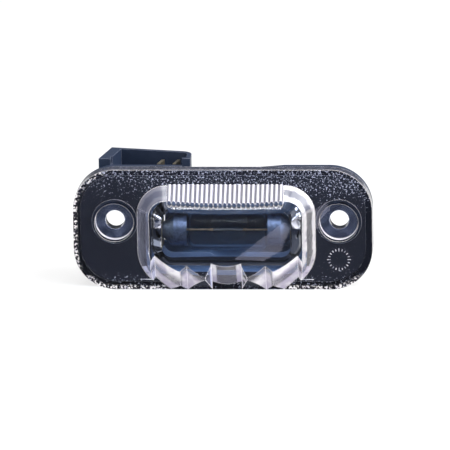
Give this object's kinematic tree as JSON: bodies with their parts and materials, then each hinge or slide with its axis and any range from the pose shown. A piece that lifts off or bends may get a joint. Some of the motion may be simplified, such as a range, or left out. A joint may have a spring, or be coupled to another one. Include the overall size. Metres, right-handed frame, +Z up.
{
  "type": "number plate lamp",
  "caption": "Oblong car number plate lamp: clear lens plate with a raised fluted window and scalloped prisms, two sunk screw seats, dark housing, plug shroud and festoon bulb.",
  "frame": {"origin": "midway between the two screw holes, in the plane where the gasket's back meets the body panel", "axes": "+X along the lamp, +Z up, -Y out of the lens towards the viewer"},
  "size_m": [0.08, 0.025, 0.034],
  "materials": {
    "clear_plastic": "clear moulded plastic, polished, with sharp bright edges",
    "dark_plastic": "blue-black moulded plastic, satin",
    "seal_rubber": "black rubber, matt",
    "tinned_brass": "stamped, lightly tarnished",
    "bulb_glass": "clear thin glass",
    "nickel_cap": "nickel plated, satin",
    "tungsten": "drawn wire, grey",
    "lead_wire": "coppered wire",
    "solder": "dull tin"
  },
  "bodies": {
    "root": {"lens": "clear_plastic", "lens_seal": "seal_rubber", "housing": "dark_plastic", "body_gasket": "seal_rubber", "contact_strip_left": "tinned_brass", "contact_strip_right": "tinned_brass", "bulb_glass": "bulb_glass", "bulb_cap_left": "nickel_cap", "bulb_cap_right": "nickel_cap", "bulb_filament": "tungsten", "filament_lead_left": "lead_wire", "filament_lead_right": "lead_wire", "solder_tip_left": "solder", "solder_tip_right": "solder"}
  },
  "joints": []
}
